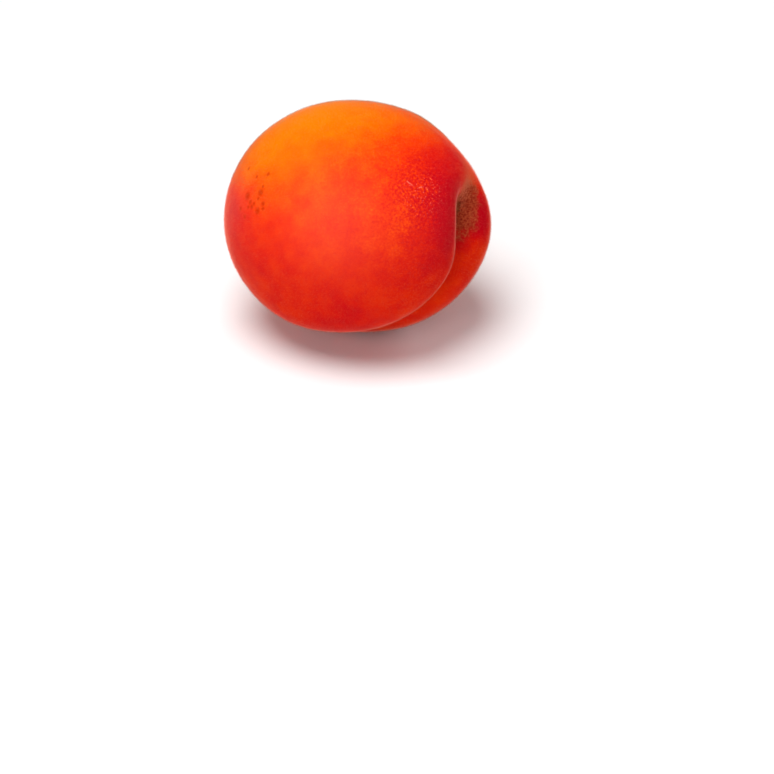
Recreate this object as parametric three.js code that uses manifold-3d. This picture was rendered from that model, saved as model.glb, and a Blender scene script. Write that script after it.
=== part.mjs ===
// A ripe apricot lying on the side of one cheek, beside its suture.
// Units are millimetres and +Z is up. The origin is the middle of the bounding box's bottom face.
//
// The fruit is worked out in its own frame first, and then laid down:
//   u  across the suture, + into the near cheek and - into the far cheek
//   v  + towards the ventral side, which carries the deep part of the suture
//   w  + towards the stem end, - towards the tip
// Its skin is star-shaped about the middle of the fruit, so one radius for each
// direction gives the whole surface.

import * as THREE from 'three';
import { mergeVertices } from 'three/addons/utils/BufferGeometryUtils.js';
import Module from 'manifold-3d';

// Body: how far the skin would stand from the middle of the fruit, along each half axis.
const NEAR_CHEEK = 23.5;
const FAR_CHEEK = 24.2;
const VENTRAL_SIDE = 23.4;
const DORSAL_SIDE = 23.7;
const STEM_END = 29.2;
const TIP_END = 25.2;

// The stem end leans to the ventral side, as a share of the radius.
const LEAN = 0.025;

// The far cheek's dorsal shoulder stands lower than the near cheek's. The drop fades with
// the angle from the shoulder's direction, and the spread is in that angle's cosine.
const SHOULDER_DROP = 2.4;
const SHOULDER_SPREAD = 0.06;
const SHOULDER_DIRECTION = new THREE.Vector3(-0.45, -0.4, 0.8).normalize();

// Stem cavity: an oval funnel a little to the ventral side, which runs out into the suture
// there and ends in a steeper wall on the dorsal side.
const CAVITY_DEPTH = 6.4;
const CAVITY_OFFSET = 1.3;
const CAVITY_HALF_WIDTH = 5.1;
const CAVITY_VENTRAL_REACH = 9.0;
const CAVITY_DORSAL_REACH = 5.9;
const CAVITY_STEEPNESS = 2.2;

// Tip: a shallow round dimple.
const TIP_DEPTH = 1.6;
const TIP_RADIUS = 5.5;

// Suture groove: how fast its sides rise, how wide its rounded floor is, and its depth at
// stations round the fruit. An angle of 0 is the stem end, 90 the ventral side, 180 the tip
// and 270 the dorsal side.
const GROOVE_WIDTH = 3.6;
const GROOVE_FLOOR = 0.5;
const GROOVE_START_ANGLE = -75;
const GROOVE_STATIONS = [
  { angle: GROOVE_START_ANGLE, depth: 0 },
  { angle: -10, depth: 0.25 },
  { angle: 12, depth: 4.2 },
  { angle: 60, depth: 2.9 },
  { angle: 100, depth: 3.7 },
  { angle: 145, depth: 2.0 },
  { angle: 180, depth: 1.4 },
  { angle: 215, depth: 0.4 },
  { angle: 270, depth: 0 },
];

// Pose on the surface, in degrees: where the stem end points, how far it rises,
// and how far the fruit is rolled about the line from tip to stem.
const STEM_HEADING = -24.5;
const STEM_RISE = 19;
const ROLL = -118;

// The weight of the fruit presses a small flat spot into it.
const FLAT_SPOT_DEPTH = 0.7;

// Skin facets: the grid is closer at the stem end and along the suture.
const GRID_COLUMNS = 88;
const GRID_ROWS = 50;
const COLUMN_CROWDING = 0.6;
const ROW_CROWDING = 0.4;

const SKIN_COLOUR = 0xe8481c;
const SKIN_ROUGHNESS = 0.55;

const wasm = await Module();
wasm.setup();

function smoothRamp(start, end, value) {
  const t = THREE.MathUtils.clamp((value - start) / (end - start), 0, 1);
  return t * t * (3 - 2 * t);
}

// The suture's depth where a plane through the stem and the tip stands at this angle.
function grooveDepth(angle) {
  let depth = 0;
  for (let i = 1; i < GROOVE_STATIONS.length; i += 1) {
    const from = GROOVE_STATIONS[i - 1];
    const to = GROOVE_STATIONS[i];
    depth += (to.depth - from.depth) * smoothRamp(from.angle, to.angle, angle);
  }
  return depth;
}

// Distance from the middle of the fruit to a plain body with a different half axis each way.
function bodyRadius(direction) {
  const across = direction.x > 0 ? NEAR_CHEEK : FAR_CHEEK;
  const side = direction.y > 0 ? VENTRAL_SIDE : DORSAL_SIDE;
  const end = direction.z > 0 ? STEM_END : TIP_END;
  const plain = 1 / Math.hypot(direction.x / across, direction.y / side, direction.z / end);
  const leaning = plain * (1 + LEAN * direction.y * direction.z);
  const nearness = direction.dot(SHOULDER_DIRECTION) - 1;
  return leaning - SHOULDER_DROP * Math.exp(nearness / SHOULDER_SPREAD);
}

function skinRadius(direction) {
  const body = bodyRadius(direction);
  const across = body * direction.x;
  const along = body * direction.y;

  let hollow = 0;
  if (direction.z > 0) {
    const offCentre = along - CAVITY_OFFSET;
    const halfLength = offCentre > 0 ? CAVITY_VENTRAL_REACH : CAVITY_DORSAL_REACH;
    const reach = Math.hypot(across / CAVITY_HALF_WIDTH, offCentre / halfLength);
    hollow = CAVITY_DEPTH * Math.exp(-(reach ** CAVITY_STEEPNESS));
  } else {
    hollow = TIP_DEPTH * Math.exp(-(across ** 2 + along ** 2) / TIP_RADIUS ** 2);
  }

  let angle = THREE.MathUtils.radToDeg(Math.atan2(direction.y, direction.z));
  if (angle < GROOVE_START_ANGLE) {
    angle += 360;
  }
  const offset = Math.hypot(across, GROOVE_FLOOR) - GROOVE_FLOOR;
  const groove = grooveDepth(angle) * Math.exp(-offset / GROOVE_WIDTH);
  return body - Math.hypot(hollow, groove);
}

// A unit sphere's poles go to the stem and the tip, its rings and columns are crowded
// towards the cavity and the suture, and each point is moved out to the skin.
function skinGeometry() {
  const geometry = new THREE.SphereGeometry(1, GRID_COLUMNS, GRID_ROWS);
  geometry.deleteAttribute('normal');
  geometry.deleteAttribute('uv');
  const position = geometry.getAttribute('position');
  const point = new THREE.Vector3();
  const direction = new THREE.Vector3();
  for (let i = 0; i < position.count; i += 1) {
    point.fromBufferAttribute(position, i);
    const polar = Math.acos(THREE.MathUtils.clamp(point.y, -1, 1));
    const turn = Math.atan2(point.z, point.x);
    const crowdedPolar = polar - ROW_CROWDING * Math.sin(polar);
    const crowdedTurn = turn - (COLUMN_CROWDING / 2) * Math.sin(2 * turn);
    const ring = Math.hypot(point.x, point.z) > 0 ? Math.sin(crowdedPolar) : 0;
    direction.set(ring * Math.sin(crowdedTurn), ring * Math.cos(crowdedTurn), Math.cos(crowdedPolar));
    direction.multiplyScalar(skinRadius(direction));
    position.setXYZ(i, direction.x, direction.y, direction.z);
  }
  return mergeVertices(geometry);
}

// Laying the fruit down: roll about the stem axis, tip the axis over, then turn it round.
function layDown(geometry) {
  geometry.rotateZ(THREE.MathUtils.degToRad(ROLL));
  geometry.rotateY(THREE.MathUtils.degToRad(90 - STEM_RISE));
  geometry.rotateZ(THREE.MathUtils.degToRad(STEM_HEADING));
  return geometry;
}

function solidFrom(geometry) {
  const vertProperties = Float32Array.from(geometry.getAttribute('position').array);
  const triVerts = Uint32Array.from(geometry.getIndex().array);
  return new wasm.Manifold(new wasm.Mesh({ numProp: 3, vertProperties, triVerts }));
}

function geometryFrom(solid) {
  const mesh = solid.getMesh();
  const geometry = new THREE.BufferGeometry();
  geometry.setAttribute('position', new THREE.BufferAttribute(mesh.vertProperties, mesh.numProp));
  geometry.setIndex(new THREE.BufferAttribute(mesh.triVerts, 1));
  return geometry;
}

// The flat spot is the fruit cut level, a little above its lowest point.
function withFlatSpot(geometry) {
  geometry.computeBoundingBox();
  const { min, max } = geometry.boundingBox;
  const size = max.clone().sub(min);
  const below = new THREE.BoxGeometry(2 * size.x, 2 * size.y, size.z);
  below.deleteAttribute('normal');
  below.deleteAttribute('uv');
  below.translate(0, 0, min.z + FLAT_SPOT_DEPTH - size.z / 2);
  return geometryFrom(solidFrom(geometry).subtract(solidFrom(mergeVertices(below))));
}

function apricotGeometry() {
  const geometry = withFlatSpot(layDown(skinGeometry()));
  geometry.computeBoundingBox();
  const { min, max } = geometry.boundingBox;
  geometry.translate(-(min.x + max.x) / 2, -(min.y + max.y) / 2, -min.z);
  geometry.computeVertexNormals();
  return geometry;
}

const skin = new THREE.MeshStandardMaterial({
  color: SKIN_COLOUR,
  roughness: SKIN_ROUGHNESS,
  metalness: 0,
});

const apricot = new THREE.Mesh(apricotGeometry(), skin);
apricot.name = 'apricot';

const part = new THREE.Group();
part.add(apricot);

export default part;
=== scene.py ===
"""Looks for a ripe apricot: its skin with blush, freckles and russet, its down, and a pale studio."""

import math

import bpy
import numpy as np
from mathutils import Matrix, Vector, noise
from mathutils.bvhtree import BVHTree


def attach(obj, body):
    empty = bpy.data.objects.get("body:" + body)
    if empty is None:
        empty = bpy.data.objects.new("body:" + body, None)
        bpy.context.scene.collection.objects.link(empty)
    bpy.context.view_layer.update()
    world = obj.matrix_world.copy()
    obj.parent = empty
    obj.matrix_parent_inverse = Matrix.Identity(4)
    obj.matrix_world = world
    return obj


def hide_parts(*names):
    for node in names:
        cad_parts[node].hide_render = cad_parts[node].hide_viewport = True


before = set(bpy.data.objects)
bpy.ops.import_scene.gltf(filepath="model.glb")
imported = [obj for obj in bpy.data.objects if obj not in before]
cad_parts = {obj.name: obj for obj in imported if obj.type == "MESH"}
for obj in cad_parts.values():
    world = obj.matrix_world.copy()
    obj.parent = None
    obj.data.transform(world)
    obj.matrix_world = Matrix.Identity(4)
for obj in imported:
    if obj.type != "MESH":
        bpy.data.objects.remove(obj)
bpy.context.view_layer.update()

# A millimetre, in metres.
MM = 0.001
RANDOM_SEED = 20

# ---------------------------------------------------------------- the fruit's shape, in mm
# u runs across the suture (+ near cheek), v to the ventral side, w to the stem end.

NEAR_CHEEK, FAR_CHEEK = 23.5, 24.2
VENTRAL_SIDE, DORSAL_SIDE = 23.4, 23.7
STEM_END, TIP_END = 29.2, 25.2
LEAN = 0.025

SHOULDER_DROP = 2.4
SHOULDER_SPREAD = 0.06
SHOULDER_DIRECTION = np.array([-0.45, -0.4, 0.8])

CAVITY_DEPTH, CAVITY_OFFSET = 6.4, 1.3
CAVITY_HALF_WIDTH = 5.1
CAVITY_VENTRAL_REACH, CAVITY_DORSAL_REACH = 9.0, 5.9
CAVITY_STEEPNESS = 2.2
TIP_DEPTH = 1.6
TIP_RADIUS = 5.5

GROOVE_WIDTH = 3.6
GROOVE_FLOOR = 0.5
# Angle round the fruit in degrees (0 stem, 90 ventral, 180 tip, 270 dorsal), and depth.
GROOVE_STATIONS = [(-75, 0.0), (-10, 0.25), (12, 4.2), (60, 2.9), (100, 3.7),
                   (145, 2.0), (180, 1.4), (215, 0.4), (270, 0.0)]

STEM_HEADING, STEM_RISE, ROLL = -24.5, 19.0, -118.0
FLAT_SPOT_DEPTH = 0.7

# What the coarse solid leaves out: the stem's scar and its pit, the wrinkles round them, which
# rise and fade with the distance from the stem axis, the point at the tip, swells and dimples.
SCAR_RADIUS, SCAR_HEIGHT, SCAR_LIP = 1.7, 0.35, 0.45
PIT_RADIUS, PIT_DEPTH = 1.0, 0.6
WRINKLE_HEIGHT, WRINKLE_COUNT = 0.13, 17
WRINKLES_RISE, WRINKLES_FADE = (0.8, 2.0), (2.5, 5.0)
WANDER, WANDER_PERIOD = 5, 2.5
POINT_RADIUS, POINT_HEIGHT = 0.5, 0.35
SWELL_HEIGHT, SWELL_PERIOD = 0.16, 11.0
DIMPLE_HEIGHT, DIMPLE_PERIOD = 0.035, 2.2

SKIN_COLUMNS, SKIN_ROWS = 416, 230
COLUMN_CROWDING = 0.45
ROW_CROWDING = 0.4

# Each noise has a seed of its own, and each seed moves it on by these steps.
SEED_STEPS = (17.3, 5.1, 9.7)
SWELL_SEED, DIMPLE_SEED, WANDER_SEED = 1, 2, 3
BROAD_SEED, FINE_SEED, OVAL_SEED = 5, 6, 7


def smooth_ramp(start, end, value):
    t = np.clip((value - start) / (end - start), 0, 1)
    return t * t * (3 - 2 * t)


def groove_depth(angle):
    """The suture's depth at each angle round the fruit."""
    depth = np.zeros_like(angle)
    for (a0, d0), (a1, d1) in zip(GROOVE_STATIONS, GROOVE_STATIONS[1:]):
        depth += (d1 - d0) * smooth_ramp(a0, a1, angle)
    return depth


def body_radius(d):
    """How far a plain body stands from the middle, in each direction of d."""
    across = np.where(d[:, 0] > 0, NEAR_CHEEK, FAR_CHEEK)
    side = np.where(d[:, 1] > 0, VENTRAL_SIDE, DORSAL_SIDE)
    end = np.where(d[:, 2] > 0, STEM_END, TIP_END)
    plain = 1 / np.sqrt((d[:, 0] / across) ** 2 + (d[:, 1] / side) ** 2 + (d[:, 2] / end) ** 2)
    leaning = plain * (1 + LEAN * d[:, 1] * d[:, 2])
    shoulder = SHOULDER_DIRECTION / np.linalg.norm(SHOULDER_DIRECTION)
    return leaning - SHOULDER_DROP * np.exp((d @ shoulder - 1) / SHOULDER_SPREAD)


def hollow_depth(d, body):
    """How far the stem cavity and the tip's dimple go in."""
    across, along = body * d[:, 0], body * d[:, 1]
    off_centre = along - CAVITY_OFFSET
    half_length = np.where(off_centre > 0, CAVITY_VENTRAL_REACH, CAVITY_DORSAL_REACH)
    reach = np.hypot(across / CAVITY_HALF_WIDTH, off_centre / half_length)
    cavity = CAVITY_DEPTH * np.exp(-(reach ** CAVITY_STEEPNESS))
    tip = TIP_DEPTH * np.exp(-(across ** 2 + along ** 2) / TIP_RADIUS ** 2)
    return np.where(d[:, 2] > 0, cavity, tip)


def groove_cut(d, body):
    """How far the suture goes in."""
    angle = np.degrees(np.arctan2(d[:, 1], d[:, 2]))
    angle = np.where(angle < GROOVE_STATIONS[0][0], angle + 360, angle)
    offset = np.hypot(body * d[:, 0], GROOVE_FLOOR) - GROOVE_FLOOR
    return groove_depth(angle) * np.exp(-offset / GROOVE_WIDTH)


def noise_field(points, period, seed):
    """Smooth noise from about -1 to 1 at points in mm."""
    shift = Vector([seed * step for step in SEED_STEPS])
    return np.array([noise.noise(Vector(p) / period + shift) for p in points])


def fine_relief(d, body):
    """Stem scar, cavity wrinkles, the point at the tip, and the skin's slow swells and dimples."""
    across, along = body * d[:, 0], body * d[:, 1]
    from_axis = np.hypot(across, along)
    turn = np.arctan2(along, across)
    stem = d[:, 2] > 0
    lip = SCAR_HEIGHT * np.exp(-(((from_axis - SCAR_RADIUS) / SCAR_LIP) ** 2))
    pit = PIT_DEPTH * np.exp(-((from_axis / PIT_RADIUS) ** 2))
    skin = d * body[:, None]
    wander = WANDER * noise_field(skin, WANDER_PERIOD, WANDER_SEED)
    share = smooth_ramp(*WRINKLES_RISE, from_axis) * (1 - smooth_ramp(*WRINKLES_FADE, from_axis))
    wrinkle = WRINKLE_HEIGHT * share * np.cos(WRINKLE_COUNT * turn + wander)
    point = POINT_HEIGHT * np.exp(-((from_axis / POINT_RADIUS) ** 2))
    local = np.where(stem, lip - pit + wrinkle, point)
    swell = SWELL_HEIGHT * noise_field(skin, SWELL_PERIOD, SWELL_SEED)
    dimple = DIMPLE_HEIGHT * noise_field(skin, DIMPLE_PERIOD, DIMPLE_SEED)
    return local + swell + dimple


def skin_radius(d):
    """How far the skin stands from the middle, in each direction of d."""
    body = body_radius(d)
    cut = np.hypot(hollow_depth(d, body), groove_cut(d, body))
    return body - cut + fine_relief(d, body)


def laid_down():
    """The turn that lays the fruit on its flat spot, as a 3 x 3 array."""
    turn = (Matrix.Rotation(math.radians(STEM_HEADING), 3, "Z")
            @ Matrix.Rotation(math.radians(90 - STEM_RISE), 3, "Y")
            @ Matrix.Rotation(math.radians(ROLL), 3, "Z"))
    return np.array(turn)


def grid_directions():
    """Rings from the stem pole to the tip pole, crowded at both poles and along the suture."""
    polar = np.linspace(0, math.pi, SKIN_ROWS + 1)[1:-1]
    polar = polar - ROW_CROWDING / 2 * np.sin(2 * polar)
    turn = np.linspace(0, 2 * math.pi, SKIN_COLUMNS, endpoint=False)
    turn = turn - COLUMN_CROWDING / 2 * np.sin(2 * turn)
    ring = np.sin(polar)[:, None]
    rows = np.stack([ring * np.sin(turn), ring * np.cos(turn),
                     np.cos(polar)[:, None] * np.ones_like(turn)], -1)
    return np.vstack([[[0, 0, 1]], rows.reshape(-1, 3), [[0, 0, -1]]])


def grid_triangles():
    """The triangles between those rings, with a fan round each pole."""
    rows = SKIN_ROWS - 1
    index = 1 + np.arange(rows * SKIN_COLUMNS).reshape(rows, SKIN_COLUMNS)
    right = np.roll(index, -1, axis=1)
    upper, lower = index[:-1], index[1:]
    upper_right, lower_right = right[:-1], right[1:]
    first = np.stack([upper, lower, upper_right], -1).reshape(-1, 3)
    second = np.stack([upper_right, lower, lower_right], -1).reshape(-1, 3)
    stem_fan = np.stack([np.zeros(SKIN_COLUMNS, int), index[0], right[0]], -1)
    tip = 1 + rows * SKIN_COLUMNS
    tip_fan = np.stack([np.full(SKIN_COLUMNS, tip), right[-1], index[-1]], -1)
    return np.vstack([stem_fan, first, second, tip_fan])


def outward(points, triangles):
    """The triangles, turned over if they face inward."""
    a, b, c = (points[triangles[:, i]] for i in range(3))
    volume = np.einsum("ij,ij->i", a, np.cross(b, c)).sum()
    return triangles if volume > 0 else triangles[:, ::-1]


def mesh_object(name, points_mm, triangles, smooth):
    mesh = bpy.data.meshes.new(name)
    mesh.vertices.add(len(points_mm))
    mesh.vertices.foreach_set("co", (points_mm * MM).astype(np.float32).ravel())
    mesh.loops.add(3 * len(triangles))
    mesh.loops.foreach_set("vertex_index", triangles.astype(np.int32).ravel())
    mesh.polygons.add(len(triangles))
    mesh.polygons.foreach_set("loop_start", np.arange(0, 3 * len(triangles), 3, dtype=np.int32))
    mesh.polygons.foreach_set("loop_total", np.full(len(triangles), 3, dtype=np.int32))
    mesh.polygons.foreach_set("use_smooth", np.full(len(triangles), smooth))
    mesh.update(calc_edges=True)
    mesh.validate()
    piece = bpy.data.objects.new(name, mesh)
    bpy.context.scene.collection.objects.link(piece)
    return piece


# ---------------------------------------------------------------- the skin, laid in the frame

directions = grid_directions()
turned = (directions * skin_radius(directions)[:, None]) @ laid_down().T
lowest, highest = turned.min(0), turned.max(0)
middle_mm = np.array([-(lowest[0] + highest[0]) / 2, -(lowest[1] + highest[1]) / 2,
                      -lowest[2] - FLAT_SPOT_DEPTH])
skin_points = turned + middle_mm
skin_points[:, 2] = np.maximum(skin_points[:, 2], 0)
skin_triangles = outward(skin_points - middle_mm, grid_triangles())
skin = mesh_object("apricot_skin", skin_points, skin_triangles, True)

# ---------------------------------------------------------------- camera

FRAME_PIXELS = 774
CAMERA_DISTANCE_MM = 650.0
CAMERA_ELEVATION = 30.0
PIXELS_PER_MM = 5.075
FRUIT_MIDDLE_PIXEL = (351.5, 220.9)
SENSOR_MM = 36.0
FOCAL_PIXELS = PIXELS_PER_MM * CAMERA_DISTANCE_MM
# The nearest and furthest that the camera sees, in metres.
CLIP_START, CLIP_END = 0.01, 20.0

elevation = math.radians(CAMERA_ELEVATION)
TO_CAMERA = np.array([0, -math.cos(elevation), math.sin(elevation)])
PICTURE_RIGHT = np.array([1.0, 0, 0])
PICTURE_UP = np.array([0, math.sin(elevation), math.cos(elevation)])


def add_camera():
    """Looks at the fruit from 30 degrees up, aimed so that the fruit's middle falls on its pixel."""
    data = bpy.data.cameras.new("camera")
    data.sensor_width = SENSOR_MM
    data.lens = FOCAL_PIXELS / FRAME_PIXELS * SENSOR_MM
    camera = bpy.data.objects.new("camera", data)
    bpy.context.scene.collection.objects.link(camera)
    right = (FRAME_PIXELS / 2 - FRUIT_MIDDLE_PIXEL[0]) / PIXELS_PER_MM
    up = (FRUIT_MIDDLE_PIXEL[1] - FRAME_PIXELS / 2) / PIXELS_PER_MM
    place = middle_mm + TO_CAMERA * CAMERA_DISTANCE_MM
    aim = middle_mm + PICTURE_RIGHT * right + PICTURE_UP * up
    look = Vector(aim - place)
    camera.location = Vector(place * MM)
    camera.rotation_euler = look.to_track_quat("-Z", "Y").to_euler()
    data.clip_start = CLIP_START
    data.clip_end = CLIP_END
    bpy.context.scene.camera = camera
    return camera


camera = add_camera()


# ---------------------------------------------------------------- where the colours lie

def skin_place(pixel, tree):
    """The point of the skin, in mm, that shows at a pixel of the 774 x 774 frame."""
    ray = Vector(((pixel[0] - FRAME_PIXELS / 2) / FOCAL_PIXELS,
                  (FRAME_PIXELS / 2 - pixel[1]) / FOCAL_PIXELS, -1))
    ray.rotate(camera.rotation_euler)
    hit, _, _, _ = tree.ray_cast(camera.location, ray.normalized())
    return np.array(hit) / MM


def fruit_place(direction):
    """The point of the skin, in mm, in a direction (u, v, w) of the fruit's own frame."""
    d = np.array([direction], float)
    d /= np.linalg.norm(d)
    return (d * skin_radius(d)[:, None])[0] @ laid_down().T + middle_mm


# Blush runs from the lowest, golden, over 0, orange, and 1, crimson, to the deepest crimson.
# The ground has one blush, and each soft patch adds its own: it has a place, a reach in mm and
# an amount. A seen patch's place is a pixel of the frame, a hidden one's a direction (u, v, w).
LOWEST_BLUSH, DEEPEST_BLUSH = -0.35, 1.35
GROUND_BLUSH = 0.66
# Two of these, marked below, deepen the blush as painted shade rather than the skin's own colour.
SEEN_PATCHES = [
    ((300, 118), 15, -0.76),
    ((308, 113), 5, -0.10),
    ((262, 158), 9, -0.14),
    ((375, 120), 10, -0.20),
    ((444, 180), 8, 0.34),
    ((436, 232), 7, 0.12),
    ((420, 264), 8, 0.20),
    ((240, 245), 9, 0.16),
    ((262, 285), 9, 0.05),
    ((320, 215), 11, -0.07),
    ((372, 285), 10, 0.08),
    # Painted shade: deeper crimson at the bottom, where the fruit sits in shade.
    ((345, 328), 10, 0.26),
    ((481, 204), 3, 0.60),
    ((452, 203), 5, 0.42),
    ((450, 236), 4, 0.30),
    ((233, 202), 6, 0.34),
    ((240, 174), 7, -0.26),
    ((282, 190), 7, -0.10),
    ((408, 236), 7, -0.13),
    ((280, 152), 7, 0.08),
    # Painted shade: a deeper blush darkens the far cheek's lower right.
    ((468, 272), 8, 0.15),
    ((481, 224), 3, 0.64),
    ((474, 258), 5, -0.14),
    ((461, 241), 3, 0.30),
    ((426, 131), 5, -0.08),
    ((457, 155), 4, 0.36),
    ((400, 303), 7, -0.10),
    ((285, 245), 9, 0.07),
]
HIDDEN_PATCHES = [
    ((-0.6, -0.75, 0.1), 22, -0.50),
    ((-0.9, 0.2, -0.2), 16, -0.30),
    ((-0.4, 0.2, -0.9), 14, -0.25),
    ((0.2, -0.6, -0.8), 12, 0.20),
    ((-0.5, 0.5, 0.7), 7, 0.10),
    ((0, 0, -1), 4, -0.35),
]

# Slow noise over the blush: its amount, its period in mm and its seed.
BLUSH_NOISES = [(0.07, 7.0, BROAD_SEED), (0.05, 2.6, FINE_SEED)]

# More seen patches: a painted sheen, a soft pale pink highlight on the middle of the face and
# along the left outline; where the stipple is stronger; and painted light on the pale fold above
# the cavity, which lightens the russet where the near cheek's rim shades it.
PATCH_FIELDS = {
    # Painted sheen: pale pink highlights on the face and the left outline.
    "painted_sheen": [
        ((332, 222), 11, 1.0),
        ((246, 262), 8, 0.2),
        ((231, 205), 7, 1.4),
        ((432, 215), 9, 0.15),
    ],
    "stipple": [
        ((424, 195), 5.2, 1.3),
        ((424, 205), 14, 0.75),
    ],
    # Painted light on the pale fold above the cavity.
    "painted_light_fold": [
        ((463, 190), 2.0, 0.55),
        ((469, 179), 2.0, 0.40),
        ((461, 202), 1.8, 0.42),
    ],
}

# Russet and tan lie in the cavity and the suture, as an oval each, seen along the stem axis:
# its middle and half axes in u and v, in mm, and an amount. The tan both tints the suture olive
# and darkens it: partly its own colour and partly painted shade in the groove.
RUSSET_OVAL = ((-1.8, -0.2), (3.5, 6.1), 1.0)
TAN_AND_SHADE_OVAL = ((-1.5, -6.0), (2.8, 6.0), 0.24)
OVAL_FADE = (0.35, 1.30)
OVAL_RAGGED, OVAL_PERIOD = 0.25, 1.2

# The glints lie round a pixel, and fade out between these shares of their reach in mm.
GLINT_PIXEL, GLINT_REACH = (424, 195), 6.2
GLINT_FADE = (0.35, 1)

# Stands for the distance from the stem, or the tip, of a point on the other end.
FAR_AWAY = 100.0


def patch_share(points, place, reach):
    """1 at the patch's place, fading out with the distance from it."""
    return np.exp(-((np.linalg.norm(points - place, axis=1) / reach) ** 2))


def patches_share(points, patches, tree):
    """The sum of some seen patches, each with its own amount."""
    return sum(amount * patch_share(points, skin_place(pixel, tree), reach)
               for pixel, reach, amount in patches)


def oval_share(points, own, oval):
    """How much of the oval covers each point of the stem end, with a ragged edge."""
    middle, half_axes, amount = oval
    ragged = OVAL_RAGGED * noise_field(points, OVAL_PERIOD, OVAL_SEED)
    place = (own[:, :2] - middle) / half_axes
    from_middle = np.hypot(place[:, 0], place[:, 1]) + ragged
    return amount * (1 - smooth_ramp(*OVAL_FADE, from_middle)) * (own[:, 2] > 0)


def put_attribute(piece, name, values):
    attribute = piece.data.attributes.new(name, "FLOAT", "POINT")
    attribute.data.foreach_set("value", np.asarray(values, np.float32))


def colour_fields(piece, points):
    """Puts where each colour lies on the skin, and gives its tree for rays and its blush."""
    tree = BVHTree.FromObject(piece, bpy.context.evaluated_depsgraph_get())
    blush = np.full(len(points), GROUND_BLUSH)
    for pixel, reach, amount in SEEN_PATCHES:
        blush += amount * patch_share(points, skin_place(pixel, tree), reach)
    for direction, reach, amount in HIDDEN_PATCHES:
        blush += amount * patch_share(points, fruit_place(direction), reach)
    blush += sum(amount * noise_field(points, period, seed) for amount, period, seed in BLUSH_NOISES)
    put_attribute(piece, "blush", blush)
    own = (points - middle_mm) @ laid_down()
    put_attribute(piece, "russet", oval_share(points, own, RUSSET_OVAL))
    put_attribute(piece, "tan_and_shade", oval_share(points, own, TAN_AND_SHADE_OVAL))
    from_axis = np.hypot(own[:, 0], own[:, 1])
    put_attribute(piece, "from_stem", np.where(own[:, 2] > 0, from_axis, FAR_AWAY))
    put_attribute(piece, "from_tip", np.where(own[:, 2] < 0, from_axis, FAR_AWAY))
    from_glints = np.linalg.norm(points - skin_place(GLINT_PIXEL, tree), axis=1)
    put_attribute(piece, "glint", 1 - smooth_ramp(*GLINT_FADE, from_glints / GLINT_REACH))
    for name, patches in PATCH_FIELDS.items():
        put_attribute(piece, name, patches_share(points, patches, tree))
    return tree, blush


skin_tree, skin_blush = colour_fields(skin, skin_points)

# ---------------------------------------------------------------- materials

# A Mix node's sockets when it mixes colours.
MIX_FIRST, MIX_SECOND, MIX_RESULT = 6, 7, 2


class Nodes:
    """A short way to add and join shader nodes."""

    def __init__(self, name):
        self.material = bpy.data.materials.new(name)
        self.material.use_nodes = True
        self.tree = self.material.node_tree
        self.shader = self.tree.nodes["Principled BSDF"]

    def add(self, kind, inputs=None, **settings):
        node = self.tree.nodes.new("ShaderNode" + kind)
        for key, value in settings.items():
            setattr(node, key, value)
        for key, value in (inputs or {}).items():
            self.feed(node.inputs[key], value)
        return node

    def feed(self, socket, value):
        if isinstance(value, bpy.types.NodeSocket):
            self.tree.links.new(value, socket)
        else:
            socket.default_value = value

    def surface(self, name, value):
        """Joins or sets an input of the material's own shader."""
        self.feed(self.shader.inputs[name], value)

    def math(self, operation, a, b):
        return self.add("Math", {0: a, 1: b}, operation=operation).outputs[0]

    def plus(self, a, b):
        return self.math("ADD", a, b)

    def times(self, a, b):
        return self.math("MULTIPLY", a, b)

    def swing(self, fac, amount):
        """A pattern from 0 to 1, turned into one that swings about 0."""
        return self.times(self.math("SUBTRACT", fac, 0.5), amount)

    def attribute(self, name):
        return self.add("Attribute", attribute_name=name).outputs["Fac"]

    def noise(self, place, period_mm, detail, roughness):
        node = self.add("TexNoise", {"Vector": place, "Scale": per_metre(period_mm),
                                     "Detail": detail, "Roughness": roughness})
        return node.outputs["Fac"]

    def cells(self, place, period_mm):
        return self.add("TexVoronoi", {"Vector": place, "Scale": per_metre(period_mm)}).outputs

    def ramp(self, value, low, high):
        """0 at low and 1 at high, which may be the smaller of the two."""
        node = self.add("MapRange", {"Value": value, "From Min": low, "From Max": high},
                        interpolation_type="SMOOTHSTEP")
        return node.outputs["Result"]

    def mix(self, share, a, b):
        node = self.add("Mix", {0: share}, data_type="RGBA")
        self.feed(node.inputs[MIX_FIRST], a)
        self.feed(node.inputs[MIX_SECOND], b)
        return node.outputs[MIX_RESULT]


def per_metre(period_mm):
    """A pattern's scale, in cycles a metre, for a period in mm."""
    return 1 / (period_mm * MM)


WHITE = (1, 1, 1, 1)
GOLDEN = (0.83, 0.185, 0.001, 1)
ORANGE = (0.82, 0.155, 0.0, 1)
ORANGE_RED = (0.77, 0.057, 0.001, 1)
RED = (0.67, 0.013, 0.002, 1)
CRIMSON = (0.53, 0.001, 0.006, 1)
DEEP_CRIMSON = (0.43, 0.0005, 0.008, 1)
RUSSET_LIGHT = (0.45, 0.070, 0.026, 1)
RUSSET_DARK = (0.24, 0.012, 0.004, 1)
# Olive tan, darker than the skin: partly the suture's own tint, partly painted shade.
TAN_AND_SHADE = (0.55, 0.15, 0.05, 1)
# Painted light: a pale colour that lightens the russet where the cavity's rim shades it.
PAINTED_LIGHT_FOLD = (0.66, 0.17, 0.085, 1)
SCAR = (0.32, 0.09, 0.032, 1)
SCAR_RIM = (0.23, 0.040, 0.012, 1)
FRECKLE = (0.45, 0.020, 0.0, 1)
PALE_PINK = (1.0, 0.30, 0.20, 1)
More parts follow.
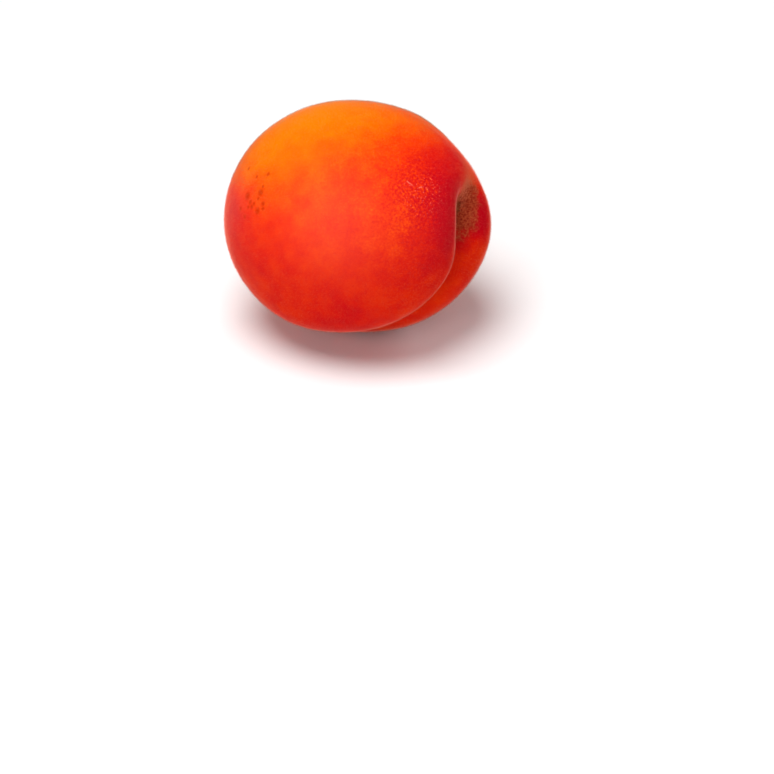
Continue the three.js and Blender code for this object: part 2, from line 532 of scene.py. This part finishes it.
# Painted sheen: a pale pink laid into the skin's colour as a soft highlight.
PAINTED_SHEEN = (0.98, 0.42, 0.36, 1)
HAIR_GOLD = (0.34, 0.25, 0.10, 1)
HAIR_PINK = (0.66, 0.15, 0.09, 1)

# The blush at which each colour between the two ends is reached.
BLUSH_COLOURS = ((0.0, ORANGE), (0.36, ORANGE_RED), (0.70, RED), (1.0, CRIMSON))

# Patterns of the skin. A noise has its period in mm, its detail and its roughness.
STIPPLE_NOISE, STIPPLE_EVERYWHERE = (0.42, 2, 0.6), 0.31
CLOUD_NOISE, CLOUD_BLUSH = (3.5, 3, 0.55), 0.52
DOT_PERIOD, DOT_SIZE, DOT_CHOICE, DOT_BLUSH = 0.8, (0.30, 0.08), (0.5, 0.7), 0.12
# How much of the painted sheen's pink goes into the colour.
PAINTED_SHEEN_SHARE = 0.045
GLINT_PERIOD, GLINT_SIZE, GLINT_CHOICE, GLINT_SHARE = 0.46, (0.27, 0.12), (0.38, 0.48), 0.42
PALE_MARK_SHARE, FRECKLE_SHARE = 0.5, 0.75
SPECKLE_NOISE, FLECK_SWING = (0.40, 3, 0.65), 1.2
RUSSET_EDGE, RUSSET_SHADES = (0.08, 0.80), (0.34, 0.66)
# Painted light on the fold above the cavity: its flecks, its edge and its share.
PAINTED_LIGHT_FLECKS, PAINTED_LIGHT_EDGE, PAINTED_LIGHT_SHARE = 0.8, (0.12, 0.95), 0.65

# A spot is full at the second of these shares of its radius and gone at the first.
SPOT_EDGE = (1.7, 0.3)
SPOT_NOISE, SPOT_RAGGED_MM = (0.5, 2, 0.5), 0.25

# Distances from the stem axis, in mm, where the scar's rim, its middle and its pit start and
# are full, and the same for the small point at the tip.
RIM_EDGE, SCAR_EDGE, PIT_EDGE, POINT_EDGE = (1.9, 1.4), (1.4, 1.0), (0.7, 0.3), (0.75, 0.35)

# Relief too fine for the mesh, and gloss.
GRAIN_NOISE, GRAIN_SHARE = (0.28, 2, 0.6), 0.5
PORE_NOISE = (1.1, 2, 0.5)
BUMP_STRENGTH, BUMP_DISTANCE_MM = 0.35, 0.08
GLOSS_NOISE, LEAST_ROUGHNESS, ROUGHNESS_SPAN = (2.0, 2, 0.5), 0.46, 0.14
SHEEN_WEIGHT, SHEEN_ROUGHNESS, SHEEN_TINT = 1.0, 0.22, (1.0, 0.44, 0.34, 1)

# The down's colour turns from gold to pink over this range of the skin's blush.
HAIR_BLUSH = (0.35, 0.65)
HAIR_ROUGHNESS, HAIR_SPECULAR = 0.7, 0.1

# Freckles: a pixel of the frame and a radius in mm each.
FRECKLES = [
    ((247.6, 196), 0.69), ((260.6, 192.5), 0.69), ((257.5, 210.9), 0.59), ((263.1, 203.6), 0.45),
    ((263, 208.6), 0.36), ((251.8, 206.7), 0.43), ((248.3, 207.1), 0.33), ((250.5, 202.1), 0.43),
    ((253.9, 203.6), 0.36), ((258.3, 198.7), 0.33), ((262.9, 186.4), 0.33), ((256.8, 176.6), 0.33),
    ((268.2, 174.2), 0.45), ((248.7, 168.6), 0.36), ((240.7, 208.8), 0.39), ((244.7, 216.6), 0.36),
]

# Short pale marks, each a few such spots in a row.
PALE_MARKS = [
    ((407.5, 181.5), 0.10), ((408.8, 182.6), 0.12), ((410.2, 183.6), 0.14), ((411.6, 184.6), 0.12),
    ((419.8, 187.6), 0.10), ((421.4, 187.2), 0.12), ((423, 186.8), 0.10),
    ((426, 187.8), 0.10), ((427.4, 189.2), 0.10),
    ((430.6, 178.6), 0.10), ((431.8, 179.6), 0.09),
]


def skin_colour(n, place):
    """The colour for the blush, with stipple, clouds and fine dots."""
    stipple = n.noise(place, *STIPPLE_NOISE)
    cloud = n.noise(place, *CLOUD_NOISE)
    strength = n.plus(STIPPLE_EVERYWHERE, n.attribute("stipple"))
    blush = n.plus(n.attribute("blush"), n.swing(stipple, strength))
    blush = n.plus(blush, n.swing(cloud, CLOUD_BLUSH))
    cells = n.cells(place, DOT_PERIOD)
    dots = n.times(n.ramp(cells["Distance"], *DOT_SIZE), n.ramp(cells["Color"], *DOT_CHOICE))
    blush = n.plus(blush, n.times(dots, DOT_BLUSH))
    span = DEEPEST_BLUSH - LOWEST_BLUSH
    share = n.math("DIVIDE", n.math("SUBTRACT", blush, LOWEST_BLUSH), span)
    ramp = n.add("ValToRGB", {"Fac": share})
    stops = ramp.color_ramp
    stops.interpolation = "B_SPLINE"
    first, last = stops.elements
    first.position, first.color = 0.0, GOLDEN
    last.position, last.color = 1.0, DEEP_CRIMSON
    for level, colour in BLUSH_COLOURS:
        stops.elements.new((level - LOWEST_BLUSH) / span).color = colour
    return ramp.outputs["Color"]


def spot_share(n, place, tree, spots):
    """1 on a spot and 0 off it, with a soft and slightly ragged edge."""
    ragged = n.swing(n.noise(place, *SPOT_NOISE), SPOT_RAGGED_MM * MM)
    total = None
    for pixel, radius in spots:
        centre = Vector(skin_place(pixel, tree) * MM)
        gap = n.add("VectorMath", {0: place, 1: centre}, operation="DISTANCE").outputs["Value"]
        edge = [share * radius * MM for share in SPOT_EDGE]
        spot = n.ramp(n.plus(gap, ragged), *edge)
        total = spot if total is None else n.math("MAXIMUM", total, spot)
    return total


def glint_share(n, place):
    """Some of a field of small cells, where the glints lie."""
    grains = n.cells(place, GLINT_PERIOD)
    chosen = n.ramp(grains["Color"], *GLINT_CHOICE)
    glint = n.times(n.ramp(grains["Distance"], *GLINT_SIZE), n.attribute("glint"))
    return n.times(n.times(glint, chosen), GLINT_SHARE)


def skin_material(tree):
    n = Nodes("skin")
    place = n.add("TexCoord").outputs["Object"]
    colour = skin_colour(n, place)
    # Painted sheen: pale pink mixed in where the face and the left outline catch the light.
    colour = n.mix(n.times(n.attribute("painted_sheen"), PAINTED_SHEEN_SHARE), colour, PAINTED_SHEEN)
    colour = n.mix(glint_share(n, place), colour, PALE_PINK)
    colour = n.mix(n.times(spot_share(n, place, tree, PALE_MARKS), PALE_MARK_SHARE), colour, PALE_PINK)
    colour = n.mix(n.times(spot_share(n, place, tree, FRECKLES), FRECKLE_SHARE), colour, FRECKLE)

    # Tan in the suture: an olive tint and a darkening, partly painted shade in the groove.
    colour = n.mix(n.attribute("tan_and_shade"), colour, TAN_AND_SHADE)
    speckle = n.noise(place, *SPECKLE_NOISE)
    flecks = n.swing(speckle, FLECK_SWING)
    share = n.ramp(n.plus(n.attribute("russet"), flecks), *RUSSET_EDGE)
    russet = n.mix(n.ramp(speckle, *RUSSET_SHADES), RUSSET_DARK, RUSSET_LIGHT)
    colour = n.mix(share, colour, russet)
    # Painted light: the pale fold above the cavity lightens the russet where the near cheek's rim
    # shades it.
    painted_light_fold = n.ramp(n.plus(n.attribute("painted_light_fold"), n.times(flecks, PAINTED_LIGHT_FLECKS)), *PAINTED_LIGHT_EDGE)
    colour = n.mix(n.times(painted_light_fold, PAINTED_LIGHT_SHARE), colour, PAINTED_LIGHT_FOLD)

    from_stem = n.plus(n.attribute("from_stem"), flecks)
    colour = n.mix(n.ramp(from_stem, *RIM_EDGE), colour, SCAR_RIM)
    colour = n.mix(n.ramp(from_stem, *SCAR_EDGE), colour, SCAR)
    colour = n.mix(n.ramp(from_stem, *PIT_EDGE), colour, SCAR_RIM)
    colour = n.mix(n.ramp(n.attribute("from_tip"), *POINT_EDGE), colour, SCAR_RIM)
    n.surface("Base Color", colour)

    grain = n.noise(place, *GRAIN_NOISE)
    pores = n.noise(place, *PORE_NOISE)
    height = n.plus(n.times(grain, GRAIN_SHARE), pores)
    bump = n.add("Bump", {"Height": height, "Strength": BUMP_STRENGTH,
                          "Distance": BUMP_DISTANCE_MM * MM})
    n.surface("Normal", bump.outputs["Normal"])

    gloss = n.noise(place, *GLOSS_NOISE)
    n.surface("Roughness", n.plus(LEAST_ROUGHNESS, n.times(gloss, ROUGHNESS_SPAN)))
    n.surface("Specular IOR Level", 0.0)
    n.surface("Sheen Weight", SHEEN_WEIGHT)
    n.surface("Sheen Roughness", SHEEN_ROUGHNESS)
    n.surface("Sheen Tint", SHEEN_TINT)
    return n.material


def down_material():
    n = Nodes("down")
    colour = n.mix(n.ramp(n.attribute("blush"), *HAIR_BLUSH), HAIR_GOLD, HAIR_PINK)
    n.surface("Base Color", colour)
    n.surface("Roughness", HAIR_ROUGHNESS)
    n.surface("Specular IOR Level", HAIR_SPECULAR)
    return n.material


skin.data.materials.append(skin_material(skin_tree))
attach(skin, "root")
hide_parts("apricot")

# ---------------------------------------------------------------- down
# Short hairs, each a closed sliver with three corners at its root and one at its end, in mm.
# A hair's root is sunk in the skin, and no hair reaches down to the floor.

DOWN_PIECES = 4
HAIRS_A_PIECE = 45000
HAIR_LENGTH = (0.16, 0.38)
HAIR_WIDTH = 0.015
HAIR_ROOT = 0.04
HAIR_LEAN = 0.12
LOWEST_HAIR = 0.25
ROOT_ANGLES = [i * 2 * math.pi / 3 for i in range(3)]
SLIVER = np.array([[0, 2, 1], [0, 1, 3], [1, 2, 3], [2, 0, 3]])
CORNERS_A_HAIR = 4


def skin_samples(count, rng):
    """Random points spread evenly over the skin, with its outward direction and blush there."""
    corners = skin_points[skin_triangles]
    cross = np.cross(corners[:, 1] - corners[:, 0], corners[:, 2] - corners[:, 0])
    area = np.linalg.norm(cross, axis=1)
    pick = rng.choice(len(area), count, p=area / area.sum())
    s, t = np.sqrt(rng.random(count)), rng.random(count)
    weights = np.stack([1 - s, s * (1 - t), s * t], -1)
    blush = (skin_blush[skin_triangles[pick]] * weights).sum(1)
    return (corners[pick] * weights[:, :, None]).sum(1), cross[pick] / area[pick][:, None], blush


def unit(vectors):
    return vectors / np.linalg.norm(vectors, axis=1)[:, None]


def add_down(name, rng):
    """One piece of down: hairs stand out from the skin, lean a little, and clear the floor."""
    roots, out, blush = skin_samples(HAIRS_A_PIECE, rng)
    lean = HAIR_LEAN * rng.normal(size=roots.shape)
    along = unit(out + lean - out * (lean * out).sum(1)[:, None])
    length = rng.uniform(*HAIR_LENGTH, len(roots))[:, None]
    clear = (roots[:, 2] > LOWEST_HAIR) & ((roots + along * length)[:, 2] > LOWEST_HAIR)
    roots, out, blush, along, length = (a[clear] for a in (roots, out, blush, along, length))
    side = unit(np.cross(along, rng.normal(size=roots.shape)))
    other = np.cross(along, side)
    base = roots - out * HAIR_ROOT
    ring = [side * math.cos(a) + other * math.sin(a) for a in ROOT_ANGLES]
    points = np.stack([base + r * HAIR_WIDTH / 2 for r in ring] + [roots + along * length], 1)
    first = np.arange(len(roots))[:, None, None] * CORNERS_A_HAIR
    hairs = mesh_object(name, points.reshape(-1, 3), (first + SLIVER).reshape(-1, 3), False)
    put_attribute(hairs, "blush", np.repeat(blush, CORNERS_A_HAIR))
    return hairs


rng = np.random.default_rng(RANDOM_SEED)
down = down_material()
for i in range(DOWN_PIECES):
    hairs = add_down(f"apricot_down_{i + 1}", rng)
    hairs.data.materials.append(down)
    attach(hairs, "root")

# ---------------------------------------------------------------- studio

FLOOR_HALF_MM = 6000.0
FLOOR_COLOUR = (0.82, 0.82, 0.82, 1)
FLOOR_ROUGHNESS, FLOOR_SPECULAR = 0.9, 0.1
# The lamps light only the middle of the floor: further out it glows, so that it stays pale.
# The glow starts and is full at these distances from the middle, in metres.
GLOW_START, GLOW_END, GLOW_STRENGTH = 0.18, 0.7, 0.8

# How bright the background is to the fruit, and how bright the camera sees it.
WORLD_LIGHT, WORLD_SEEN = 0.25, 1.0

# Each lamp's name, its place and width in mm, and its power in watts.
LAMPS = [
    ("key", (-120, -150, 650), 460, 4.95),
    ("front", (-360, -540, 300), 300, 1.3),
    ("back", (360, 440, 200), 260, 1.1),
    ("right", (450, -350, 150), 260, 0.25),
]


def add_floor():
    corners = [(-1, -1, 0), (1, -1, 0), (1, 1, 0), (-1, 1, 0)]
    points = FLOOR_HALF_MM * np.array(corners)
    floor = mesh_object("floor", points, np.array([[0, 1, 2], [0, 2, 3]]), False)
    n = Nodes("floor")
    from_middle = n.add("VectorMath", {0: n.add("TexCoord").outputs["Object"]}, operation="LENGTH")
    glow = n.ramp(from_middle.outputs["Value"], GLOW_START, GLOW_END)
    n.surface("Emission Strength", n.times(glow, GLOW_STRENGTH))
    n.surface("Emission Color", WHITE)
    n.surface("Base Color", FLOOR_COLOUR)
    n.surface("Roughness", FLOOR_ROUGHNESS)
    n.surface("Specular IOR Level", FLOOR_SPECULAR)
    floor.data.materials.append(n.material)


def add_softbox(name, place_mm, size_mm, power):
    """A round lamp that faces the middle of the fruit."""
    data = bpy.data.lights.new(name, "AREA")
    data.shape = "DISK"
    data.size = size_mm * MM
    data.energy = power
    light = bpy.data.objects.new(name, data)
    bpy.context.scene.collection.objects.link(light)
    light.location = Vector(place_mm) * MM
    target = Vector(middle_mm * MM)
    light.rotation_euler = (target - light.location).to_track_quat("-Z", "Y").to_euler()


def add_world():
    world = bpy.data.worlds.new("studio")
    bpy.context.scene.world = world
    world.use_nodes = True
    background = world.node_tree.nodes["Background"]
    background.inputs["Color"].default_value = WHITE
    path = world.node_tree.nodes.new("ShaderNodeLightPath")
    strength = world.node_tree.nodes.new("ShaderNodeMapRange")
    strength.inputs["To Min"].default_value = WORLD_LIGHT
    strength.inputs["To Max"].default_value = WORLD_SEEN
    world.node_tree.links.new(path.outputs["Is Camera Ray"], strength.inputs["Value"])
    world.node_tree.links.new(strength.outputs["Result"], background.inputs["Strength"])


add_floor()
for lamp in LAMPS:
    add_softbox(*lamp)
add_world()

scene = bpy.context.scene
scene.view_settings.view_transform = "Standard"
scene.view_settings.look = "None"
